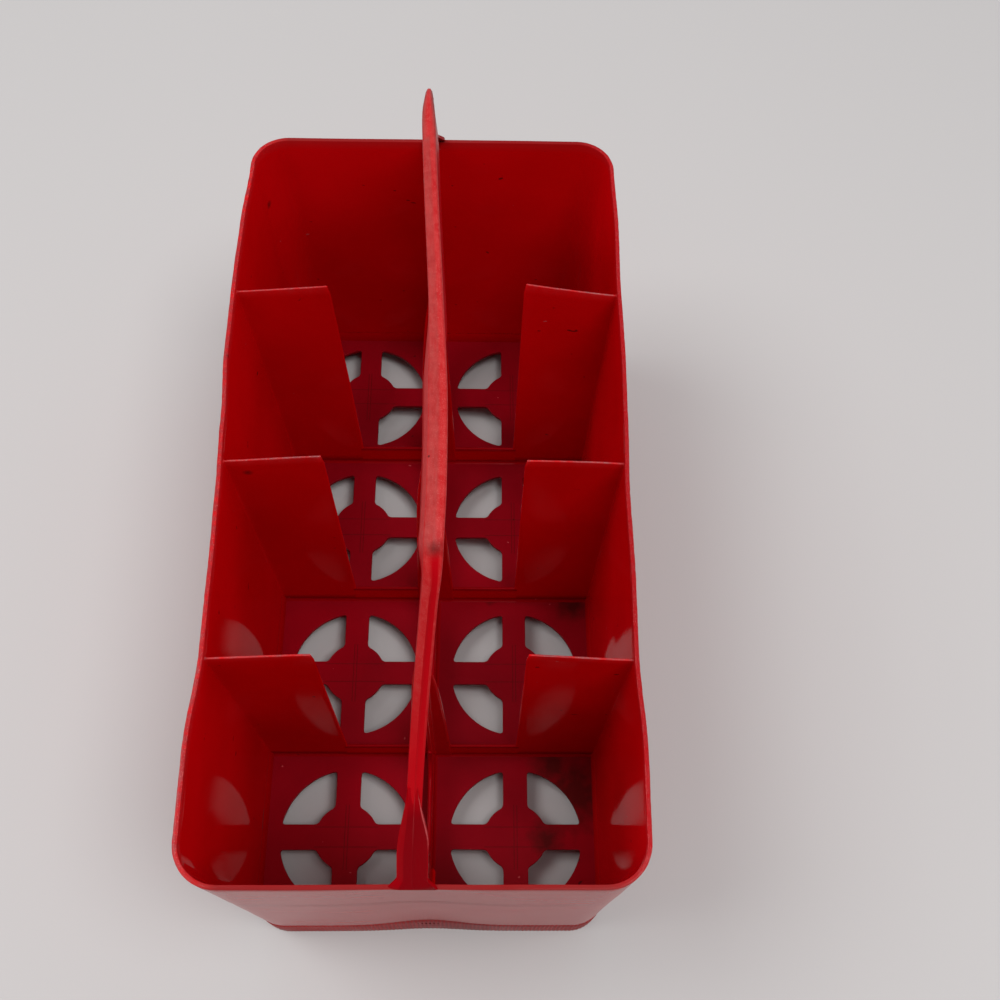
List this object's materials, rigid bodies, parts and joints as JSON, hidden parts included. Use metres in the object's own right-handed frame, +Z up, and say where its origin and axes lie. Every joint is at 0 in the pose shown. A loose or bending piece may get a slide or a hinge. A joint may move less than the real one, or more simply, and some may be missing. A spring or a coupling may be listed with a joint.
{
  "type": "bottle crate",
  "caption": "Open moulded bottle carrier: straight-walled box with cells, pierced floor, ribbed foot band and a tall fixed arched handle.",
  "frame": {"origin": "middle of the box in plan, at the level of the surface that the foot band stands on", "axes": "+X across the box to the right, +Y along the box to the back end, +Z up; the front end is at -Y"},
  "size_m": [0.1454, 0.2816, 0.2455],
  "materials": {
    "wall_plastic": "glossy moulded polyethylene, rubbed and dulled outside",
    "inner_plastic": "glossy moulded polyethylene with ragged, paler top edges",
    "floor_plastic": "satin moulded polyethylene, darker and speckled with dirt",
    "band_plastic": "finely ribbed foot band",
    "handle_plastic": "hand-worn, paler along the grip"
  },
  "bodies": {
    "root": {"back_foot_band": "band_plastic", "back_gusset": "inner_plastic", "back_handle_foot": "handle_plastic", "back_handle_leg": "handle_plastic", "back_left_corner_foot_band": "band_plastic", "back_left_corner_wall": "wall_plastic", "back_right_corner_foot_band": "band_plastic", "back_right_corner_wall": "wall_plastic", "back_wall": "wall_plastic", "centre_post_1": "inner_plastic", "centre_post_2": "inner_plastic", "centre_post_3": "inner_plastic", "centre_rib_1": "inner_plastic", "centre_rib_2": "inner_plastic", "centre_rib_3": "inner_plastic", "centre_rib_4": "inner_plastic", "front_foot_band": "band_plastic", "front_gusset": "inner_plastic", "front_handle_foot": "handle_plastic", "front_handle_leg": "handle_plastic", "front_left_corner_foot_band": "band_plastic", "front_left_corner_wall": "wall_plastic", "front_right_corner_foot_band": "band_plastic", "front_right_corner_wall": "wall_plastic", "front_wall": "wall_plastic", "handle_grip": "handle_plastic", "left_cell_floor_1": "floor_plastic", "left_cell_floor_2": "floor_plastic", "left_cell_floor_3": "floor_plastic", "left_cell_floor_4": "floor_plastic", "left_cross_rib_1": "inner_plastic", "left_cross_rib_2": "inner_plastic", "left_cross_rib_3": "inner_plastic", "left_divider_1": "inner_plastic", "left_divider_2": "inner_plastic", "left_divider_3": "inner_plastic", "left_foot_band": "band_plastic", "left_wall_1": "wall_plastic", "left_wall_2": "wall_plastic", "left_wall_3": "wall_plastic", "left_wall_4": "wall_plastic", "right_cell_floor_1": "floor_plastic", "right_cell_floor_2": "floor_plastic", "right_cell_floor_3": "floor_plastic", "right_cell_floor_4": "floor_plastic", "right_cross_rib_1": "inner_plastic", "right_cross_rib_2": "inner_plastic", "right_cross_rib_3": "inner_plastic", "right_divider_1": "inner_plastic", "right_divider_2": "inner_plastic", "right_divider_3": "inner_plastic", "right_foot_band": "band_plastic", "right_wall_1": "wall_plastic", "right_wall_2": "wall_plastic", "right_wall_3": "wall_plastic", "right_wall_4": "wall_plastic"}
  },
  "joints": []
}
